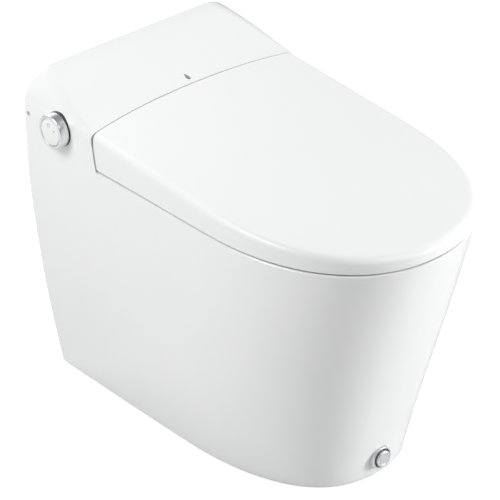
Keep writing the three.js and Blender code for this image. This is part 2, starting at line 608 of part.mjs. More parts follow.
// ---------- foot flush button
const bezelOuter = [[6.4, 0.3], [18, 0.3], [18, 11.2], [16.6, 12.6]];
const bezelInner = [[14.4, 12.6], [13.4, 11.6], [13.4, 2.4], [6.4, 2.4], [6.4, 0.3]];
add("foot_bezel", turned([...bezelOuter, ...bezelInner], "-y", 0, footSeatY, footZ, 28), chrome);
const footProfile = [[0, -16], [5.6, -16], [5.6, 7.2], [13, 7.2], [13, 16], [11.8, 17.4], [0, 18]];
add("foot_button", turned(footProfile, "-y", 0, footSeatY, footZ, 28), chrome);
const switchCup = [[0, 0], [11, 0], [11, 32], [6.2, 32], [6.2, 22], [0, 22]];
add("foot_switch", turned(switchCup, "-y", 0, -179, footZ), darkPlastic);

export default group;
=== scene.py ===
import json
import math
import bpy
from mathutils import Matrix, Vector

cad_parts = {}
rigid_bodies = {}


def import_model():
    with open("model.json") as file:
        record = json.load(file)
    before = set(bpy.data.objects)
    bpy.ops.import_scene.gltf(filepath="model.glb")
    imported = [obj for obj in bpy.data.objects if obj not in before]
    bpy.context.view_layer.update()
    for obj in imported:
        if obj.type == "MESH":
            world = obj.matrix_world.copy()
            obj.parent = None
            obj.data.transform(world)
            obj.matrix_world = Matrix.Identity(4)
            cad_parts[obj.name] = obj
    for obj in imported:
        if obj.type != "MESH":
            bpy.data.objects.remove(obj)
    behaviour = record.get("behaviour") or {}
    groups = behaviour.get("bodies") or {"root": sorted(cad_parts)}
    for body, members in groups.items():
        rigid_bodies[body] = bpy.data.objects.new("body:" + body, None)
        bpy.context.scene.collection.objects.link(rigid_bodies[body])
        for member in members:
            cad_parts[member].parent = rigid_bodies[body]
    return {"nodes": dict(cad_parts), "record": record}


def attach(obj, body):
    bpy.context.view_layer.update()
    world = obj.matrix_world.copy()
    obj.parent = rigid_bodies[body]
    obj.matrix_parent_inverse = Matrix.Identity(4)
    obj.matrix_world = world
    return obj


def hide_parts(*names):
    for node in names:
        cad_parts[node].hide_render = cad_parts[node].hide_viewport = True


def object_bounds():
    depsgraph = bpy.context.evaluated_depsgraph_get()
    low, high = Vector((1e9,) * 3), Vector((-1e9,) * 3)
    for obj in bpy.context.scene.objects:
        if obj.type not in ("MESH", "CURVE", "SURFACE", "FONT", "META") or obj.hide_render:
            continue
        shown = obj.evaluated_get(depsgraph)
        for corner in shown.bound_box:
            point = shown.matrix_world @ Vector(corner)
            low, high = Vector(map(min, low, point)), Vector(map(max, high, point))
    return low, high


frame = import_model()
cadLow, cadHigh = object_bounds()
print("frame loaded:", len(frame["nodes"]), "nodes")


def mix(a, b, t):
    return a + (b - a) * t


def ease(t):
    return t * t * (3 - 2 * t)


def clampUnit(t):
    return min(1.0, max(0.0, t))


def deselectAll():
    if bpy.context.mode != "OBJECT":
        bpy.ops.object.mode_set(mode="OBJECT")
    bpy.ops.object.select_all(action="DESELECT")


def pick(piece):
    deselectAll()
    piece.select_set(True)
    bpy.context.view_layer.objects.active = piece
    return piece


def settle(piece):  # place, turn and size go into the mesh
    pick(piece)
    bpy.ops.object.transform_apply(location=True, rotation=True, scale=True)
    return piece


def closeUp(piece):  # merge the seam, close the open ends, face outwards
    pick(piece)
    bpy.ops.object.mode_set(mode="EDIT")
    bpy.ops.mesh.select_all(action="SELECT")
    bpy.ops.mesh.remove_doubles(threshold=1e-6)
    bpy.ops.mesh.fill_holes(sides=0)
    bpy.ops.mesh.select_all(action="SELECT")
    bpy.ops.mesh.normals_make_consistent(inside=False)
    bpy.ops.object.mode_set(mode="OBJECT")
    return piece


def skinned(name, rings):  # a grid laid over a stack of rings, row by row
    count = len(rings[0])
    deselectAll()
    bpy.ops.mesh.primitive_grid_add(x_subdivisions=count, y_subdivisions=len(rings) - 1, size=1)
    piece = bpy.context.active_object
    piece.name = name
    for number, vertex in enumerate(piece.data.vertices):
        row, column = divmod(number, count + 1)
        vertex.co = rings[row][column % count]
    return closeUp(piece)


def block(low, high, rounding=0.0, along=None):  # a box, its edges along one axis rounded if asked
    deselectAll()
    low, high = Vector(low), Vector(high)
    bpy.ops.mesh.primitive_cube_add(size=1, location=(low + high) / 2, scale=high - low)
    piece = settle(bpy.context.active_object)
    if rounding:
        bevelEdges(piece, rounding, 6, lambda a, b: abs((b - a).normalized()["xyz".index(along)]) > 0.99)
    return piece


def bevelEdges(piece, width, segments, wanted):
    pick(piece)
    mesh = piece.data
    bpy.ops.object.mode_set(mode="EDIT")
    bpy.ops.mesh.select_all(action="DESELECT")
    bpy.ops.mesh.select_mode(type="EDGE")
    bpy.ops.object.mode_set(mode="OBJECT")
    for edge in mesh.edges:
        a, b = (mesh.vertices[i].co for i in edge.vertices)
        edge.select = bool(wanted(a, b))
    bpy.ops.object.mode_set(mode="EDIT")
    bpy.ops.mesh.bevel(offset=width, segments=segments, profile=0.5, clamp_overlap=True)
    bpy.ops.object.mode_set(mode="OBJECT")
    return piece


def bar(axis, centre, radius, start, stop, sides=96):  # a cylinder from start to stop along one axis
    deselectAll()
    place = Vector(centre)
    place["xyz".index(axis)] = (start + stop) / 2
    turn = {"x": (0, math.pi / 2, 0), "y": (math.pi / 2, 0, 0), "z": (0, 0, 0)}[axis]
    bpy.ops.mesh.primitive_cylinder_add(
        vertices=sides, radius=radius, depth=stop - start, location=place, rotation=turn
    )
    return settle(bpy.context.active_object)


def carve(piece, *tools, how="DIFFERENCE", keep=False):
    for tool in tools:
        modifier = piece.modifiers.new("carve", "BOOLEAN")
        modifier.operation = how
        modifier.solver = "MANIFOLD"
        modifier.object = tool
        pick(piece)
        bpy.ops.object.modifier_apply(modifier=modifier.name)
        if not keep:
            bpy.data.objects.remove(tool)
    return piece


def twin(piece, name):  # a copy with its own mesh
    copy = piece.copy()
    copy.data = piece.data.copy()
    copy.name = name
    copy.parent = None
    for key in list(copy.keys()):
        del copy[key]
    bpy.context.scene.collection.objects.link(copy)
    return copy


def smooth(piece, degrees=32):
    pick(piece)
    bpy.ops.object.shade_smooth_by_angle(angle=math.radians(degrees))
    return piece


def evenShading(piece, degrees=32):  # smooth, with large flat faces kept flat
    smooth(piece, degrees)
    modifier = piece.modifiers.new("even", "WEIGHTED_NORMAL")
    modifier.keep_sharp = True
    modifier.weight = 80
    bpy.ops.object.modifier_apply(modifier=modifier.name)
    return piece


def rounded(corners, steps=4):  # corners as (radius, along, rounding); each becomes a small arc
    points = []
    for i, (radius, along, size) in enumerate(corners):
        here = Vector((radius, along))
        if not size:
            points.append(here)
            continue
        back = (Vector(corners[i - 1][:2]) - here).normalized() * size
        ahead = (Vector(corners[(i + 1) % len(corners)][:2]) - here).normalized() * size
        for k in range(steps + 1):
            t = k / steps
            points.append(here + back * (1 - t) ** 2 + ahead * t ** 2)
    return points


def spun(name, profile, axis, centre, sides=96):  # an outline of (radius, along) spun about an axis
    deselectAll()
    bpy.ops.mesh.primitive_circle_add(vertices=len(profile), radius=1)
    piece = bpy.context.active_object
    piece.name = name
    axis, centre = Vector(axis), Vector(centre)
    outward = axis.orthogonal().normalized()
    for vertex, (radius, along) in zip(piece.data.vertices, profile):
        vertex.co = centre + axis * along + outward * radius
    bpy.ops.object.mode_set(mode="EDIT")
    bpy.ops.mesh.select_all(action="SELECT")
    bpy.ops.mesh.spin(steps=sides, angle=math.tau, center=centre, axis=axis)
    bpy.ops.mesh.select_all(action="SELECT")
    bpy.ops.mesh.remove_doubles(threshold=1e-6)
    bpy.ops.mesh.delete_loose(use_verts=True, use_edges=True, use_faces=False)
    bpy.ops.mesh.select_all(action="SELECT")
    bpy.ops.mesh.normals_make_consistent(inside=False)
    bpy.ops.object.mode_set(mode="OBJECT")
    return piece


def pipe(points, radius):  # a round rod through the points
    deselectAll()
    bpy.ops.curve.primitive_bezier_curve_add()
    curve = bpy.context.active_object
    spline = curve.data.splines[0]
    spline.bezier_points.add(len(points) - 2)
    for knot, place in zip(spline.bezier_points, points):
        knot.co = place
        knot.handle_left_type = knot.handle_right_type = "AUTO"
    curve.data.dimensions = "3D"
    curve.data.bevel_depth = radius
    curve.data.bevel_resolution = 8
    curve.data.use_fill_caps = True
    settle(curve)
    bpy.ops.object.convert(target="MESH")
    return closeUp(bpy.context.active_object)


plan = {  # metres
    "back": cadHigh.y,
    "tip": cadLow.y - 0.0005,
    "rimHalf": 0.1955,
    "floorHalf": 0.1525,
    "floorTip": -0.220,
    "rimShoulder": -0.068,
    "floorShoulder": 0.050,
    "rimZ": 0.422,
    "swellShare": 0.86,  # the sides reach their full width at this share of the rim's height
    "flare": cadHigh.x - 0.1955,
    "flareFrom": 0.060,
    "seamY": 0.1755,
    "seamRise": 0.011,
    "seamZ": 0.4815,
    "tipZ": 0.446,
    "crown": 0.0084,
    "seamLean": 0.007,
    "columns": 200,
}


def flareAt(y):
    return clampUnit((y - plan["flareFrom"]) / (plan["back"] - plan["flareFrom"])) ** 2


def planPoint(u, half, shoulder, tip, z, powers=(2.17, 2.335), flare=0.0, rear=None, corner=0.003):
    # u runs from the middle of the back, round one side to the tip at 0.5, and back round the other
    rear = plan["back"] if rear is None else rear
    side = 1 if u <= 0.5 else -1
    t = 2 * min(u, 1 - u)
    backShare, cornerShare, sideShare = 0.10, 0.16, 0.40
    rearHalf = half + flare * flareAt(rear - corner)
    if t < backShare:
        x, y = t / backShare * max(0, rearHalf - corner), rear
    elif t < cornerShare:
        a = (t - backShare) / (cornerShare - backShare) * math.pi / 2
        x = max(0, rearHalf - corner) + min(corner, rearHalf) * math.sin(a)
        y = rear - corner + corner * math.cos(a)
    elif t < sideShare:
        y = mix(rear - corner, shoulder, (t - cornerShare) / (sideShare - cornerShare))
        x = half + flare * flareAt(y)
    else:
        a = (t - sideShare) / (1 - sideShare) * math.pi / 2
        x = half * max(0.0, math.cos(a)) ** (2 / powers[0])
        y = shoulder - (shoulder - tip) * math.sin(a) ** (2 / powers[1])
    return Vector((side * x, y, z(y) if callable(z) else z))


def planRing(columns=None, **shape):
    columns = columns or plan["columns"]
    return [planPoint(i / columns, **shape) for i in range(columns)]


def skirtHalf(z):
    rise = min(1, z / plan["rimZ"] / plan["swellShare"])
    return mix(plan["floorHalf"], plan["rimHalf"], math.sin(math.pi / 2 * rise))


def skirtFlare(z):
    t = z / plan["rimZ"]
    return plan["flare"] * ease(clampUnit((t - 0.5) / 0.5)) - 0.002 * (1 - min(t, 1))


def skirtRing(z, inset=0.0, rear=None, columns=None):
    t = z / plan["rimZ"]
    f = t - 0.27 * t * (1 - t) ** 2
    return planRing(
        columns,
        half=skirtHalf(z) - inset,
        shoulder=mix(plan["floorShoulder"], plan["rimShoulder"], f),
        tip=mix(plan["floorTip"], plan["tip"], f) + inset,
        z=z,
        powers=(mix(2.43, 2.17, t), mix(2.43, 2.335, t)),
        flare=skirtFlare(z),
        rear=(plan["back"] - inset) if rear is None else rear,
    )


def shoulderZ(y):
    return mix(plan["tipZ"], plan["seamZ"], (y - plan["tip"]) / (plan["seamY"] - plan["tip"]))


def seamAt(x, z):
    across = 1 - min(1, abs(x) / plan["rimHalf"]) ** 2.6
    lean = plan["seamLean"] * clampUnit((0.465 - z) / (0.465 - plan["rimZ"])) ** 1.5
    return plan["seamY"] + plan["seamRise"] * across - lean


hinge = {"y": 0.152, "z": 0.471}


def frontOfSeam(name, shift, sweep, low):  # all in front of the seam, with the room for the lid's tail
    rings = []
    columns, rows, reachX = 56, 40, 0.231
    for i in range(columns + 1):
        x = mix(-reachX, reachX, i / columns)
        edge = shoulderZ(plan["seamY"]) + plan["crown"] * (1 - min(1, abs(x) / plan["rimHalf"]) ** 2)
        reach = math.hypot(seamAt(x, edge) - hinge["y"], edge - hinge["z"]) + sweep
        ring = [Vector((x, -0.4, low))]
        for k in range(rows + 1):
            z = mix(low, 0.5, k / rows)
            swept = 0.0
            if sweep and z < edge:
                swept = hinge["y"] + math.sqrt(max(0, reach ** 2 - (z - hinge["z"]) ** 2))
            ring.append(Vector((x, max(seamAt(x, z) + shift, swept), z)))
        ring.append(Vector((x, seamAt(x, 0.56) + shift, 0.56)))
        ring.append(Vector((x, -0.4, 0.56)))
        rings.append(ring)
    return skinned(name, rings)


ceramic = {
    "wall": 0.013,
    "bowlWall": 0.012,
    "rearWall": 0.014,
    "rimRound": 0.003,
    "footRound": 0.0025,
    "rows": 44,
    "hoodTop": 0.522,
    "hoodCorner": (0.050, 0.048),
    "seamCorner": 0.009,
    "hoodRows": 48,
    "hoodOver": 0.00004,  # the hood's skin lies this far over the skirt's, so that they join cleanly
    "bowlHalf": 0.136,
    "bowlMid": -0.120,
    "bowlLong": 0.168,
    "sumpZ": 0.212,
    "bowlRound": 0.007,
    "outlet": (0, 0.126, 0),
    "padHalf": (0.060, 0.056),
    "padTop": 0.016,
    "ribHalf": (0.160, 0.012),
    "ribTop": 0.216,
    "trapOut": 0.037,
    "trapIn": 0.026,
    "gasketSeat": (0.0524, 0.010),
    "pipeHoles": ((0.110, 0.011), (-0.110, 0.009)),  # x and radius, in the rear wall
    "pipeHoleZ": 0.090,
    "deckHoles": ((0.080, 0.017), (-0.062, 0.009)),  # x and radius, in the deck
    "deckHoleY": 0.108,
    "bayRows": (0.206, 0.230, 0.260, 0.290),
    "bayLow": 0.15,
    "doorHalf": 0.165,
    "doorZ": (0.150, 0.470),
    "trap": [(0, -62, 250), (0, -55, 200), (0, -10, 178), (0, 45, 215), (0, 92, 232), (0, 120, 195),
             (0, 126, 120), (0, 126, 60), (0, 126, -20)],  # millimetres
}


def hoodSection(y, inset=0.0, bottom=0.30):
    s = ease(clampUnit((y - plan["seamY"]) / (plan["back"] - plan["seamY"])))
    over = ceramic["hoodOver"] - inset
    half = plan["rimHalf"] + plan["flare"] * flareAt(y) + over
    cornerX = mix(ceramic["seamCorner"], ceramic["hoodCorner"][0], s)
    cornerZ = mix(ceramic["seamCorner"], ceramic["hoodCorner"][1], s)
    top = mix(plan["seamZ"], ceramic["hoodTop"], s ** 0.8) - inset
    rise = mix(plan["crown"], 0.001, s)
    right = []
    for i in range(10):
        z = mix(bottom, plan["rimZ"], i / 10)
        right.append((skirtHalf(z) + skirtFlare(z) * flareAt(y) + over, z))
    for i in range(4):
        right.append((half, mix(plan["rimZ"], top - cornerZ, i / 4)))
    for i in range(19):
        a = i / 18 * math.pi / 2
        x = half - cornerX * (1 - math.cos(a))
        arch = rise * (1 - (x / half) ** 2)
        right.append((x, top - cornerZ * (1 - math.sin(a)) + arch))
    for i in range(1, 25):
        x = (half - cornerX) * (1 - i / 24)
        right.append((x, top + rise * (1 - (x / half) ** 2)))
    left = [(-x, z) for x, z in right[-2::-1]]
    return [Vector((x, y, z)) for x, z in right + left]


def bowlRing(z, grow=0.0, count=96):
    t = clampUnit((z - ceramic["sumpZ"]) / (plan["rimZ"] - ceramic["sumpZ"]))
    swell = math.sin(math.pi / 2 * t) ** 0.8
    ring = []
    for i in range(count):
        a = i / count * math.tau
        x = (mix(0.040, ceramic["bowlHalf"], swell) + grow) * math.cos(a)
        middle = mix(-0.070, ceramic["bowlMid"], swell)
        ring.append(Vector((x, middle + (mix(0.048, ceramic["bowlLong"], swell) + grow) * math.sin(a), z)))
    return ring


def makeCeramicOutside():
    foot, rim, top = ceramic["footRound"], ceramic["rimRound"], plan["rimZ"]
    rings = []
    for k in range(5):
        a = k / 4 * math.pi / 2
        rings.append(skirtRing(foot * (1 - math.cos(a)), foot * (1 - math.sin(a))))
    for k in range(1, ceramic["rows"]):
        rings.append(skirtRing(mix(foot, top - rim, k / ceramic["rows"])))
    for k in range(6):
        a = k / 5 * math.pi / 2
        rings.append(skirtRing(top - rim + rim * math.sin(a), rim * (1 - math.cos(a))))
    outside = skinned("ceramic_outside", rings)
    start, stop, edge = 0.166, plan["back"], 0.003
    steps = [k / ceramic["hoodRows"] for k in range(ceramic["hoodRows"])]
    sections = [hoodSection(mix(start, stop - edge, t)) for t in steps]
    for k in range(6):
        a = k / 5 * math.pi / 2
        sections.append(hoodSection(stop - edge + edge * math.sin(a), edge * (1 - math.cos(a))))
    return carve(outside, skinned("hood", sections), how="UNION")


def makeHollow():  # the room inside the skirt, less the bowl, the trap, the cross rib and the outlet pad
    rearIn = plan["back"] - ceramic["rearWall"]
    below = -0.008
    levels = [-0.005, 0.05, 0.10, 0.15, 0.20, 0.26, 0.32, 0.37, 0.404]
    room = skinned("room", [skirtRing(z, ceramic["wall"], rearIn, 100) for z in levels])
    levels = [0.198, ceramic["sumpZ"], 0.24, 0.28, 0.33, 0.38, plan["rimZ"]]
    bowlWall = skinned("bowl_wall", [bowlRing(z, ceramic["bowlWall"]) for z in levels])
    trap = pipe([Vector(point) / 1000 for point in ceramic["trap"]], ceramic["trapOut"])
    halfX, halfY = ceramic["ribHalf"]
    rib = block((-halfX, -halfY, below), (halfX, halfY, ceramic["ribTop"]))
    x, y, z = ceramic["outlet"]
    halfX, halfY = ceramic["padHalf"]
    pad = block((x - halfX, y - halfY, below), (x + halfX, y + halfY, ceramic["padTop"]), 0.012, "z")
    return carve(room, bowlWall, trap, rib, pad)


def dropPrism(name, scale, low, high=0.52):
    mark = {"x": 0.007, "y": 0.203}
    deselectAll()
    bpy.ops.mesh.primitive_circle_add(vertices=48, radius=1, location=(0, 0, 0), fill_type="NGON")
    piece = bpy.context.active_object
    piece.name = name
    for i, vertex in enumerate(piece.data.vertices):
        a = i / 48 * math.tau
        width = 0.0046 * math.sin(a) * math.sin(a / 2) ** 1.4
        vertex.co = (mark["x"] + scale * width, mark["y"] + scale * (0.00015 + 0.0066 * math.cos(a)), low)
    bpy.ops.object.mode_set(mode="EDIT")
    bpy.ops.mesh.select_all(action="SELECT")
    bpy.ops.mesh.extrude_region_move(TRANSFORM_OT_translate={"value": (0, 0, high - low)})
    bpy.ops.mesh.select_all(action="SELECT")
    bpy.ops.mesh.normals_make_consistent(inside=False)
    bpy.ops.object.mode_set(mode="OBJECT")
    return piece


def makeCeramicBody():
    outside = makeCeramicOutside()
    mark = dropPrism("drop_mark_print", 1.0, 0.49235)
    carve(mark, outside, how="INTERSECT", keep=True)
    body = outside
    body.name = "ceramic_glazed_body"
    rearIn = plan["back"] - ceramic["rearWall"]
    levels = (0.14, 0.19, 0.24, 0.29, 0.35, plan["rimZ"])
    limitRings = [skirtRing(z, ceramic["wall"], rearIn, 100) for z in levels]
    limitRings.append([Vector((p.x, p.y, 0.54)) for p in limitRings[-1]])
    limit = skinned("limit", limitRings)
    bayRows = (*ceramic["bayRows"], rearIn)
    bay = skinned("bay", [hoodSection(y, ceramic["wall"], ceramic["bayLow"]) for y in bayRows])
    carve(bay, limit, how="INTERSECT")
    low, high = ceramic["doorZ"]
    half = ceramic["doorHalf"]
    door = block((-half, rearIn - 0.008, low), (half, plan["back"] + 0.01, high), 0.0106, "y")
    bowlTop, bowlRound = plan["rimZ"], ceramic["bowlRound"]
    straight = bowlTop - bowlRound - ceramic["sumpZ"]
    bowlRings = [bowlRing(ceramic["sumpZ"] + straight * (k / 16) ** 1.3) for k in range(17)]
    for k in range(1, 7):
        a = k / 6 * math.pi / 2
        bowlRings.append(bowlRing(bowlTop - bowlRound * (1 - math.sin(a)), bowlRound * (1 - math.cos(a))))
    bowlRings.append([Vector((p.x, p.y, bowlTop + 0.01)) for p in bowlRings[-1]])
    x, y, z = ceramic["outlet"]
    gasketRadius, gasketTop = ceramic["gasketSeat"]
    knobPocket = bar("x", knob["centre"], knob["pocket"], -0.225, knob["seat"])
    footPocket = bar("y", footButton["centre"], footButton["pocket"], -0.27, footButton["seat"])
    plugHole = bar("x", sidePlug["centre"], sidePlug["hole"], -0.215, -0.1955, 48)
    pipeHoles = [bar("y", (at, 0, ceramic["pipeHoleZ"]), radius, 0.300, 0.360)
                 for at, radius in ceramic["pipeHoles"]]
    deckHoles = [bar("z", (at, ceramic["deckHoleY"], 0), radius, 0.382, 0.442)
                 for at, radius in ceramic["deckHoles"]]
    tools = [
        makeHollow(), frontOfSeam("tail_room", 0.0016, 0.0012, plan["rimZ"]), bay, door,
        skinned("bowl", bowlRings),
        pipe([Vector(point) / 1000 for point in ceramic["trap"]], ceramic["trapIn"]),
        bar("z", (x, y, 0), gasketRadius, -0.005, gasketTop),
        knobPocket, bar("x", knob["centre"], knob["stemHole"], -0.220, -0.160),
        footPocket, bar("y", footButton["centre"], footButton["stemHole"], -0.252, -0.192),
        plugHole, *pipeHoles, *deckHoles, wandBore(),
        dropPrism("drop_recess", 1.08, 0.492),
    ]
    carve(body, *tools)
    return body, mark


wand = {"start": (0, 0.132, 0.438), "tilt": 30, "boreRadius": 0.015, "boreLong": 0.130, "boreMid": 0.045}


def wandBore():
    deselectAll()
    tilt = math.radians(wand["tilt"])
    along = Vector((0, -math.cos(tilt), -math.sin(tilt)))
    bpy.ops.mesh.primitive_cylinder_add(
        vertices=64, radius=wand["boreRadius"], depth=wand["boreLong"],
        location=Vector(wand["start"]) + along * wand["boreMid"],
        rotation=along.to_track_quat("Z", "Y").to_euler(),
    )
    return settle(bpy.context.active_object)


lid = {
    "half": 0.195,
    "low": 0.425,
    "edge": 0.009,
    "skin": 0.0034,
    "lipRound": 0.0008,
    "rows": 26,
    "tailReach": 0.0476,
}


def lidRing(inset, z):
    scale = max(0.0, 1 - inset / lid["half"])
    shoulder = plan["rimShoulder"]
    tip = shoulder - scale * (shoulder - plan["tip"] - 0.0005)
    return planRing(half=lid["half"] * scale, shoulder=shoulder, tip=tip, z=z, rear=0.215, corner=0.0005)


def lidForm(name, skin, low, lip=0.0):
    radius = lid["edge"] - skin

    def liftAt(inset, drop):
        rho = 1 - inset / lid["half"]
        return lambda y: shoulderZ(y) - skin - drop + plan["crown"] * (1 - rho ** 2)

    rings = [lidRing(skin + lip, low)]
    if lip:
        rings.append(lidRing(skin + lip * 0.3, low + lip * 0.3))
        rings.append(lidRing(skin, low + lip))
    for k in range(11):
        a = k / 10 * math.pi / 2
        inset = skin + radius * (1 - math.cos(a))
        rings.append(lidRing(inset, liftAt(inset, radius * (1 - math.sin(a)))))
    for k in range(1, lid["rows"] + 1):
        inset = mix(lid["edge"], lid["half"], k / lid["rows"])
        rings.append(lidRing(inset, liftAt(inset, 0)))
    return skinned(name, rings)


def makeLid():
    shell = lidForm("lid_crowned_shell", 0.0, lid["low"], lid["lipRound"])
    carve(shell, frontOfSeam("seam_cut", 0.0, 0.0, 0.400), how="INTERSECT")
    tail = block((-0.26, hinge["y"], 0.400), (0.26, 0.26, hinge["z"]))
    carve(tail, bar("x", (0, hinge["y"], hinge["z"]), lid["tailReach"], -0.27, 0.27, 160))
    carve(shell, lidForm("lid_room", lid["skin"], lid["low"] - 0.01), tail)
    return shell


seat = {
    "low": 0.43165,
    "inset": 0.012,
    "rear": 0.056,
    "holeHalf": 0.108,
    "holeMid": -0.126,
    "holeLong": 0.134,
    "thick": 0.010,
    "dish": 0.0014,
    "recess": 0.0021,
    "holeRound": 0.009,
    "holeLip": 0.0022,
    "edgeRound": 0.012,
    "edgeLip": 0.0035,
    "rim": 0.020,
}


def seatHolePoint(u, grow):
    a = u * math.tau
    s, c = math.sin(a), math.cos(a)
    x = math.copysign(abs(s) ** 0.86, s) * (seat["holeHalf"] + grow)
    y = seat["holeMid"] + math.copysign(abs(c) ** 0.86, c) * (seat["holeLong"] + grow)
    return Vector((x, y, 0))


def seatEdgePoint(u, inset):
    step = seat["inset"] + inset
    return planPoint(
        u, half=plan["rimHalf"] - step, shoulder=plan["rimShoulder"], tip=plan["tip"] + step,
        z=0.0, rear=seat["rear"] - inset, corner=0.010,
    )


def makeSeat():
    def hole(grow, rise):
        return lambda u: (seatHolePoint(u, grow), rise)

    def edge(inset, rise):
        return lambda u: (seatEdgePoint(u, inset), rise)

    def across(share):  # the dished sitting face, from the hole's edge to the outer edge
        rise = seat["thick"] - seat["dish"] * math.sin(math.pi * share)
        return lambda u: (seatHolePoint(u, holeRound).lerp(seatEdgePoint(u, edgeRound), share), rise)

    holeRound, holeLip, edgeRound, edgeLip = (
        seat[key] for key in ("holeRound", "holeLip", "edgeRound", "edgeLip"))
    section = [hole(0, 0), hole(0, holeLip)]
    section += [hole(holeRound * (1 - math.cos(a)), holeLip + (seat["thick"] - holeLip) * math.sin(a))
                for a in (math.pi / 2 * k / 7 for k in range(1, 8))]
    section += [across(k / 12) for k in range(1, 12)]
    section += [edge(edgeRound * (1 - math.sin(a)), edgeLip + (seat["thick"] - edgeLip) * math.cos(a))
                for a in (math.pi / 2 * k / 7 for k in range(8))]
    rim, recess = seat["rim"], seat["recess"]
    section += [edge(0, 0.0006), edge(0.0006, 0), edge(rim, 0), edge(rim, recess)]
    section += [hole(rim, recess), hole(rim, 0)]
    columns, rows = plan["columns"], len(section)
    deselectAll()
    bpy.ops.mesh.primitive_grid_add(x_subdivisions=columns, y_subdivisions=rows, size=1)
    piece = bpy.context.active_object
    piece.name = "seat_warm_shell"
    for number, vertex in enumerate(piece.data.vertices):
        row, column = divmod(number, columns + 1)
        point, rise = section[row % rows](column % columns / columns)
        vertex.co = (point.x, point.y, seat["low"] + rise)
    return closeUp(piece)


knob = {"centre": (0, 0.2515, 0.462), "seat": -0.194, "face": -0.2157, "pocket": 0.0270, "stemHole": 0.009}
footButton = {"centre": (0, -0.222, 0.036), "seat": -0.222, "pocket": 0.01835, "stemHole": 0.008}
sidePlug = {"centre": (-0.1958, 0.320, 0.4615), "hole": 0.0032}


def makeKnob():
    axis = (-1, 0, 0)
    centre = (knob["seat"], knob["centre"][1], knob["centre"][2])
    # the escutcheon plate, in dark plastic; the rim that shows between the ring and the wall is painted
    # shade for the shaded gap there
    plate = spun("knob_plate_painted_gap_shade", rounded([
        (0.0045, 0.0003, 0), (0.0266, 0.0003, 0.0004), (0.0266, 0.0050, 0.0006),
        (0.0256, 0.0057, 0.0004), (0.0045, 0.0057, 0)]), axis, centre)
    ring = spun("knob_turning_ring", rounded([
        (0, -0.024, 0), (0.004, -0.024, 0.0006), (0.004, 0.0062, 0), (0.0258, 0.0062, 0.0004),
        (0.0265, 0.0070, 0.0005), (0.0265, 0.0210, 0.0022), (0.0213, 0.0210, 0.0009),
        (0.0212, 0.0100, 0.0008), (0, 0.0100, 0)], 6), axis, centre, 128)
    cap = spun("knob_push_cap", rounded([
        (0, 0.0126, 0), (0.0208, 0.0126, 0.0004), (0.0208, 0.0207, 0.0012), (0.0150, 0.02170, 0.004),
        (0.0070, 0.02212, 0.003), (0, 0.0222, 0)], 6), axis, centre, 128)
    return plate, ring, cap


def makeKnobMarks():  # small raised marks: a ring and two dots
    pieces = []
    face, y, z = knob["face"], *knob["centre"][1:]
    radius = 0.0011
    for name, across, up in (("dot_low", 0.0029, -0.0005), ("dot_high", -0.0108, 0.0062)):
        pieces.append(spun(name, rounded([
            (0, 0, 0), (radius, 0, 0), (radius, 0.00035, 0.0002), (0, 0.00035, 0)], 3),
            (-1, 0, 0), (face, y + across, z + up), 24))
    pieces.append(spun("ring_mark", rounded([
        (0.0022, 0, 0), (0.0030, 0, 0), (0.0030, 0.00035, 0.0002), (0.0022, 0.00035, 0.0002)], 3),
        (-1, 0, 0), (face, y + 0.0020, z + 0.0112), 32))
    pick(pieces[0])
    for piece in pieces[1:]:
        piece.select_set(True)
    bpy.ops.object.join()
    marks = bpy.context.active_object
    marks.name = "knob_cap_marks"
    return marks


def makeFootButton():
    axis = (0, -1, 0)
    bezel = spun("foot_button_bezel", rounded([
        (0.0064, 0.0003, 0), (0.0180, 0.0003, 0), (0.0180, 0.0126, 0.0018), (0.0134, 0.0126, 0.0012),
        (0.0134, 0.0024, 0.0006), (0.0064, 0.0024, 0)], 6), axis, footButton["centre"], 128)
    button = spun("foot_button_plunger", rounded([
        (0, -0.016, 0), (0.0056, -0.016, 0.0006), (0.0056, 0.0072, 0), (0.0130, 0.0072, 0.0005),
        (0.0130, 0.0168, 0.0014), (0.0086, 0.0176, 0.0008), (0.0080, 0.0171, 0.0006), (0, 0.0174, 0)], 5),
        axis, footButton["centre"], 128)
    # a thin dark ring on the bezel's lip, over the gap round the plunger: painted shade standing in for
    # the shaded gap
    shadeRing = spun("foot_button_painted_shade_ring", rounded([
        (0.0133, 0.0122, 0), (0.0154, 0.0122, 0), (0.0154, 0.0130, 0.0004), (0.0133, 0.0130, 0)], 4),
        axis, footButton["centre"], 128)
    return bezel, button, shadeRing


def makeSidePlug():
    return spun("side_plug_cap", rounded([
        (0, 0, 0), (0.00285, 0, 0), (0.00285, 0.0049, 0.0008), (0, 0.0050, 0)]),
        (-1, 0, 0), sidePlug["centre"], 48)


panel = {"half": 0.164, "z": (0.151, 0.469), "y": (0.322, 0.325), "rounding": 0.010, "slots": 7,
         "slotZ": 0.205, "slotPitch": 0.009}


def makeBackPanel():
    low, high = panel["z"]
    front, back = panel["y"]
    piece = block((-panel["half"], front, low), (panel["half"], back, high), panel["rounding"], "y")
    piece.name = "back_service_panel"
    bevelEdges(piece, 0.0007, 2, lambda a, b: a.y > back - 1e-5 and b.y > back - 1e-5)
    for i in range(panel["slots"]):
        z = panel["slotZ"] + panel["slotPitch"] * i
        carve(piece, block((-0.045, 0.31, z), (0.045, 0.34, z + 0.004), 0.0019, "y"))
    for x, z in screwPlaces():
        carve(piece, bar("y", (x, 0, z), 0.0046, 0.3236, 0.34, 32))
    return piece


def screwPlaces():
    inset = 0.013
    low, high = panel["z"]
    return [(side * (panel["half"] - inset), z)
            for side in (-1, 1) for z in (low + inset, (low + high) / 2, high - inset)]


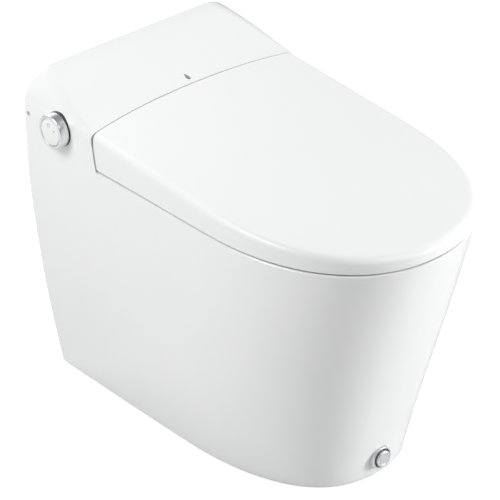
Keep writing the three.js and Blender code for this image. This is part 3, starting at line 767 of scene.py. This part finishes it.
def makePanelScrews():
    screws = []
    for i, (x, z) in enumerate(screwPlaces()):
        screw = spun("screw", rounded([
            (0, 0, 0), (0.0019, 0, 0), (0.0019, 0.0014, 0), (0.0041, 0.0014, 0.0001),
            (0.0038, 0.0030, 0.0009), (0, 0.0033, 0)]), (0, 1, 0), (x, 0.3223, z), 32)
        for turn in (0, 1):
            size = (0.0026, 0.0004) if turn == i % 2 else (0.0004, 0.0026)
            carve(screw, block((x - size[0], 0.3247, z - size[1]), (x + size[0], 0.33, z + size[1])))
        screws.append(screw)
    pick(screws[0])
    for screw in screws[1:]:
        screw.select_set(True)
    bpy.ops.object.join()
    joined = bpy.context.active_object
    joined.name = "back_panel_screws"
    return joined


def makeGroup(name, inputs, outputs):
    group = bpy.data.node_groups.new(name, "ShaderNodeTree")
    for label, kind, value in inputs:
        socket = group.interface.new_socket(label, in_out="INPUT", socket_type="NodeSocket" + kind)
        if value is not None:
            socket.default_value = value
    for label, kind in outputs:
        group.interface.new_socket(label, in_out="OUTPUT", socket_type="NodeSocket" + kind)
    return group, group.nodes.new("NodeGroupInput"), group.nodes.new("NodeGroupOutput")


def makeMottle():  # slow change of tone over the surface
    group, start, end = makeGroup(
        "softMottle",
        [("Vector", "Vector", None), ("Scale", "Float", 6.0), ("Light", "Color", (1, 1, 1, 1)),
         ("Dark", "Color", (0.9, 0.9, 0.9, 1))],
        [("Color", "Color"), ("Mask", "Float")])
    noise = group.nodes.new("ShaderNodeTexNoise")
    noise.inputs["Detail"].default_value = 3
    ramp = group.nodes.new("ShaderNodeMapRange")
    ramp.inputs["From Min"].default_value = 0.35
    ramp.inputs["From Max"].default_value = 0.65
    blend = group.nodes.new("ShaderNodeMix")
    blend.data_type = "RGBA"
    link = group.links.new
    link(start.outputs["Vector"], noise.inputs["Vector"])
    link(start.outputs["Scale"], noise.inputs["Scale"])
    link(noise.outputs["Fac"], ramp.inputs["Value"])
    link(ramp.outputs["Result"], blend.inputs[0])
    link(start.outputs["Light"], blend.inputs[6])
    link(start.outputs["Dark"], blend.inputs[7])
    link(blend.outputs[2], end.inputs["Color"])
    link(ramp.outputs["Result"], end.inputs["Mask"])
    return group


def makeGrain():  # fine relief and the change of gloss that goes with it
    group, start, end = makeGroup(
        "mouldedGrain",
        [("Vector", "Vector", None), ("Scale", "Float", 900.0), ("Depth", "Float", 0.00002),
         ("Smooth", "Float", 0.3), ("Rough", "Float", 0.4)],
        [("Normal", "Vector"), ("Roughness", "Float")])
    noise = group.nodes.new("ShaderNodeTexNoise")
    noise.inputs["Detail"].default_value = 2
    wide = group.nodes.new("ShaderNodeTexNoise")
    wide.inputs["Scale"].default_value = 24
    wide.inputs["Detail"].default_value = 4
    bump = group.nodes.new("ShaderNodeBump")
    bump.inputs["Strength"].default_value = 0.5
    gloss = group.nodes.new("ShaderNodeMapRange")
    link = group.links.new
    link(start.outputs["Vector"], noise.inputs["Vector"])
    link(start.outputs["Vector"], wide.inputs["Vector"])
    link(start.outputs["Scale"], noise.inputs["Scale"])
    link(noise.outputs["Fac"], bump.inputs["Height"])
    link(start.outputs["Depth"], bump.inputs["Distance"])
    link(wide.outputs["Fac"], gloss.inputs["Value"])
    link(start.outputs["Smooth"], gloss.inputs["To Min"])
    link(start.outputs["Rough"], gloss.inputs["To Max"])
    link(bump.outputs["Normal"], end.inputs["Normal"])
    link(gloss.outputs["Result"], end.inputs["Roughness"])
    return group


def makeWear():  # handled edges, broken up by noise
    group, start, end = makeGroup(
        "edgeWear", [("Vector", "Vector", None), ("Scale", "Float", 60.0), ("Amount", "Float", 0.5)],
        [("Mask", "Float")])
    geometry = group.nodes.new("ShaderNodeNewGeometry")
    edge = group.nodes.new("ShaderNodeMapRange")
    edge.inputs["From Min"].default_value = 0.52
    edge.inputs["From Max"].default_value = 0.62
    noise = group.nodes.new("ShaderNodeTexNoise")
    noise.inputs["Detail"].default_value = 5
    broken = group.nodes.new("ShaderNodeMath")
    broken.operation = "MULTIPLY"
    scaled = group.nodes.new("ShaderNodeMath")
    scaled.operation = "MULTIPLY"
    scaled.use_clamp = True
    link = group.links.new
    link(geometry.outputs["Pointiness"], edge.inputs["Value"])
    link(start.outputs["Vector"], noise.inputs["Vector"])
    link(start.outputs["Scale"], noise.inputs["Scale"])
    link(edge.outputs["Result"], broken.inputs[0])
    link(noise.outputs["Fac"], broken.inputs[1])
    link(broken.outputs["Value"], scaled.inputs[0])
    link(start.outputs["Amount"], scaled.inputs[1])
    link(scaled.outputs["Value"], end.inputs["Mask"])
    return group


mottleGroup, grainGroup, wearGroup = makeMottle(), makeGrain(), makeWear()


# light and dark are the two tones, wear is the edges' colour and amount, uniform goes on the shader
def finish(name, light, dark, tone=6.0, grain=900.0, depth=0.00002, gloss=(0.3, 0.4), wear=None,
           **uniform):
    material = bpy.data.materials.new(name)
    material.use_nodes = True
    tree = material.node_tree
    shader = tree.nodes["Principled BSDF"]
    for label, value in uniform.items():
        shader.inputs[label.replace("_", " ")].default_value = value
    place = tree.nodes.new("ShaderNodeTexCoord")
    mottle = tree.nodes.new("ShaderNodeGroup")
    mottle.node_tree = mottleGroup
    mottle.inputs["Scale"].default_value = tone
    mottle.inputs["Light"].default_value = (*light, 1)
    mottle.inputs["Dark"].default_value = (*dark, 1)
    relief = tree.nodes.new("ShaderNodeGroup")
    relief.node_tree = grainGroup
    relief.inputs["Scale"].default_value = grain
    relief.inputs["Depth"].default_value = depth
    relief.inputs["Smooth"].default_value, relief.inputs["Rough"].default_value = gloss
    for node in (mottle, relief):
        tree.links.new(place.outputs["Object"], node.inputs["Vector"])
    colour = mottle.outputs["Color"]
    if wear:
        rubbed = tree.nodes.new("ShaderNodeGroup")
        rubbed.node_tree = wearGroup
        rubbed.inputs["Amount"].default_value = wear[1]
        tree.links.new(place.outputs["Object"], rubbed.inputs["Vector"])
        blend = tree.nodes.new("ShaderNodeMix")
        blend.data_type = "RGBA"
        tree.links.new(rubbed.outputs["Mask"], blend.inputs[0])
        tree.links.new(colour, blend.inputs[6])
        blend.inputs[7].default_value = (*wear[0], 1)
        colour = blend.outputs[2]
    tree.links.new(colour, shader.inputs["Base Color"])
    tree.links.new(relief.outputs["Roughness"], shader.inputs["Roughness"])
    tree.links.new(relief.outputs["Normal"], shader.inputs["Normal"])
    return material


finishes = {
    "ceramic": finish(
        "glazedCeramic", (0.905, 0.908, 0.912), (0.893, 0.897, 0.902), tone=3.0, grain=60.0, depth=0.00004,
        gloss=(0.10, 0.16), Specular_IOR_Level=0.45, Coat_Weight=0.35, Coat_Roughness=0.06),
    "lid": finish(
        "lidSatinPlastic", (0.905, 0.907, 0.910), (0.895, 0.898, 0.902), tone=4.0, grain=1400.0,
        depth=0.000012, gloss=(0.30, 0.36), wear=((0.86, 0.865, 0.87), 0.25)),
    "seat": finish(
        "seatWarmPlastic", (0.89, 0.892, 0.895), (0.875, 0.878, 0.882), tone=5.0, grain=1400.0,
        depth=0.000010, gloss=(0.22, 0.30), wear=((0.84, 0.845, 0.85), 0.25)),
    "inner_plastic": finish(
        "innerWhitePlastic", (0.80, 0.805, 0.81), (0.76, 0.765, 0.77), tone=9.0, grain=1100.0,
        depth=0.00003, gloss=(0.42, 0.52), wear=((0.88, 0.88, 0.88), 0.4)),
    "grey_plastic": finish(
        "greyMouldedPlastic", (0.42, 0.43, 0.44), (0.36, 0.37, 0.38), tone=12.0, grain=1000.0,
        depth=0.00004, gloss=(0.45, 0.58), wear=((0.55, 0.56, 0.57), 0.5)),
    "dark_plastic": finish(
        "blackMouldedPlastic", (0.050, 0.052, 0.055), (0.036, 0.038, 0.040), tone=12.0, grain=1000.0,
        depth=0.00004, gloss=(0.42, 0.55), wear=((0.14, 0.14, 0.145), 0.5)),
    "mark": finish(
        "greyFiredMark", (0.32, 0.33, 0.34), (0.27, 0.28, 0.29), tone=400.0, grain=900.0, depth=0.00001,
        gloss=(0.25, 0.35)),
    "chrome": finish(
        "satinChrome", (0.86, 0.87, 0.88), (0.80, 0.81, 0.82), tone=40.0, grain=500.0, depth=0.000004,
        gloss=(0.26, 0.34), wear=((0.90, 0.90, 0.91), 0.4), Metallic=0.85),
    "steel": finish(
        "brushedSteel", (0.58, 0.59, 0.61), (0.50, 0.51, 0.53), tone=60.0, grain=700.0, depth=0.00001,
        gloss=(0.24, 0.36), wear=((0.70, 0.71, 0.72), 0.5), Metallic=1.0),
    "rubber": finish(
        "greyElastomer", (0.56, 0.565, 0.57), (0.50, 0.505, 0.51), tone=30.0, grain=800.0, depth=0.00003,
        gloss=(0.62, 0.75), wear=((0.66, 0.66, 0.66), 0.5)),
    "board": finish(
        "greenSolderMask", (0.03, 0.16, 0.08), (0.02, 0.11, 0.055), tone=50.0, grain=300.0, depth=0.00004,
        gloss=(0.25, 0.40), wear=((0.10, 0.24, 0.14), 0.4)),
    "copper": finish(
        "copperFoil", (0.72, 0.40, 0.25), (0.62, 0.33, 0.20), tone=40.0, grain=300.0, depth=0.00002,
        gloss=(0.25, 0.42), wear=((0.80, 0.50, 0.34), 0.4), Metallic=1.0),
    "lens": finish(
        "frostedLens", (0.86, 0.92, 0.96), (0.80, 0.88, 0.94), tone=20.0, grain=1200.0, depth=0.00002,
        gloss=(0.25, 0.35), Transmission_Weight=0.6, IOR=1.46),
}
print("finishes made:", len(finishes))


def dress(piece, slot, body, *nodes):
    piece.data.materials.clear()
    piece.data.materials.append(finishes[slot])
    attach(piece, body)
    if nodes:
        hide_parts(*nodes)
    return piece


for part in frame["record"]["subparts"]:
    node = frame["nodes"][part["node"]]
    node.data.materials.clear()
    node.data.materials.append(finishes[part["material_slot"]])

glazedBody, dropMark = makeCeramicBody()
dress(evenShading(glazedBody), "ceramic", "base", "ceramic_body", "bowl_basin", "trap_way")
dress(smooth(dropMark), "mark", "base", "drop_mark")
print("ceramic body:", len(glazedBody.data.polygons), "faces")

dress(evenShading(makeLid()), "lid", "lid", "lid_outer_shell")
dress(smooth(makeSeat()), "seat", "seat", "seat_upper_shell")
print("lid and seat made")

plate, ring, cap = makeKnob()
# a real escutcheon plate, dark so that its rim is painted shade in the gap between ring and wall
dress(smooth(plate), "dark_plastic", "base", "knob_escutcheon")
dress(smooth(ring), "chrome", "knob", "knob_ring")
dress(smooth(cap), "seat", "knob_cap", "knob_button")
dress(smooth(makeKnobMarks()), "mark", "knob_cap")
bezel, button, shadeRing = makeFootButton()
# the dark ring is painted shade for the gap between plunger and bezel
dress(smooth(shadeRing), "dark_plastic", "base")
dress(smooth(bezel), "chrome", "base", "foot_bezel")
dress(smooth(button), "chrome", "flush_button", "foot_button")
dress(smooth(makeSidePlug()), "grey_plastic", "base", "side_plug")
print("knob, foot button and plug made")

dress(evenShading(makeBackPanel()), "inner_plastic", "base", "back_panel")
dress(smooth(makePanelScrews()), "steel", "base")
print("back panel made")

smoothCopies = [  # turned and moulded CAD nodes, shown as merged copies that shade smoothly
    "lid_inner_panel", "lid_bumper_left", "lid_bumper_right", "seat_base_plate", "seat_bumper_front_left",
    "seat_bumper_front_right", "seat_bumper_rear_left", "seat_bumper_rear_right", "unit_cover",
    "unit_chassis", "hinge_pin_left", "hinge_pin_right", "seat_damper", "lid_damper", "wand_guide",
    "wand_outer_tube", "wash_wand", "wand_tip", "inlet_connector", "power_gland", "outlet_gasket",
]
bodyOf = {name: body for body, names in frame["record"]["behaviour"]["bodies"].items() for name in names}
slotOf = {part["node"]: part["material_slot"] for part in frame["record"]["subparts"]}
for name in smoothCopies:
    copy = twin(frame["nodes"][name], name + "_smooth")
    pick(copy)
    bpy.ops.object.mode_set(mode="EDIT")
    bpy.ops.mesh.select_all(action="SELECT")
    bpy.ops.mesh.remove_doubles(threshold=1e-6)
    bpy.ops.object.mode_set(mode="OBJECT")
    dress(evenShading(copy, 34), slotOf[name], bodyOf[name], name)
print("smooth copies made:", len(smoothCopies))


def makeFloor():
    deselectAll()
    bpy.ops.mesh.primitive_plane_add(size=24, location=(0, 0, -0.0005))
    floor = bpy.context.active_object
    floor.name = "studio_floor"
    material = bpy.data.materials.new("paleFloor")
    material.use_nodes = True
    shader = material.node_tree.nodes["Principled BSDF"]
    shader.inputs["Base Color"].default_value = (*[studio["floorTone"]] * 3, 1)
    shader.inputs["Roughness"].default_value = 0.9
    shader.inputs["Specular IOR Level"].default_value = 0.0
    shader.inputs["Emission Color"].default_value = (1, 1, 1, 1)
    path = material.node_tree.nodes.new("ShaderNodeLightPath")
    glow = material.node_tree.nodes.new("ShaderNodeMath")
    glow.operation = "MULTIPLY"
    glow.inputs[1].default_value = studio["floorGlow"]
    material.node_tree.links.new(path.outputs["Is Camera Ray"], glow.inputs[0])
    material.node_tree.links.new(glow.outputs["Value"], shader.inputs["Emission Strength"])
    floor.data.materials.append(material)


studio = {
    "world": 0.16,
    "floorTone": 0.72,
    "floorGlow": 0.5,
    "lights": {  # place, size, power in watts; each points at the object's middle
        "high_left": ((-2.0, 0.5, 2.4), 1.4, 41),
        "high_right": ((2.2, -0.6, 2.4), 1.4, 11),
        "high_back": ((0.2, 2.6, 2.0), 1.6, 44),
        "side_left": ((-3.2, 0.9, 1.3), 2.4, 21),
        "side_right": ((2.4, -2.6, 1.0), 1.2, 94),
        "high_front": ((0.3, -2.2, 2.8), 1.4, 15),
    },
    "cameraPlace": (-2.532, -2.820, 2.569),
    "azimuth": -41.36,
    "elevation": 31.044,
    "roll": -0.408,
    "lens": 216,
}


def makeLights():
    world = bpy.data.worlds.new("studio_world")
    world.use_nodes = True
    world.node_tree.nodes["Background"].inputs["Color"].default_value = (1, 1, 1, 1)
    world.node_tree.nodes["Background"].inputs["Strength"].default_value = studio["world"]
    bpy.context.scene.world = world
    aim = Vector((0, 0, 0.26))
    for name, (place, size, power) in studio["lights"].items():
        light = bpy.data.lights.new(name, "AREA")
        light.shape = "DISK"
        light.size = size
        light.energy = power
        lamp = bpy.data.objects.new(name, light)
        lamp.location = place
        lamp.rotation_euler = (aim - Vector(place)).to_track_quat("-Z", "Y").to_euler()
        bpy.context.scene.collection.objects.link(lamp)


def makeCamera():
    azimuth, elevation, roll = (math.radians(studio[key]) for key in ("azimuth", "elevation", "roll"))
    back = Vector((math.sin(azimuth) * math.cos(elevation), -math.cos(azimuth) * math.cos(elevation),
                   math.sin(elevation)))
    right = Vector((0, 0, 1)).cross(back).normalized()
    up = back.cross(right)
    turned = Matrix((right * math.cos(roll) + up * math.sin(roll),
                     up * math.cos(roll) - right * math.sin(roll), back)).transposed()
    data = bpy.data.cameras.new("camera")
    data.sensor_width = 36
    data.lens = studio["lens"]
    data.clip_start, data.clip_end = 0.05, 60
    camera = bpy.data.objects.new("camera", data)
    camera.matrix_world = Matrix.Translation(studio["cameraPlace"]) @ turned.to_4x4()
    bpy.context.scene.collection.objects.link(camera)
    bpy.context.scene.camera = camera


makeFloor()
makeLights()
makeCamera()
bpy.context.scene.view_settings.view_transform = "Standard"
print("studio ready")
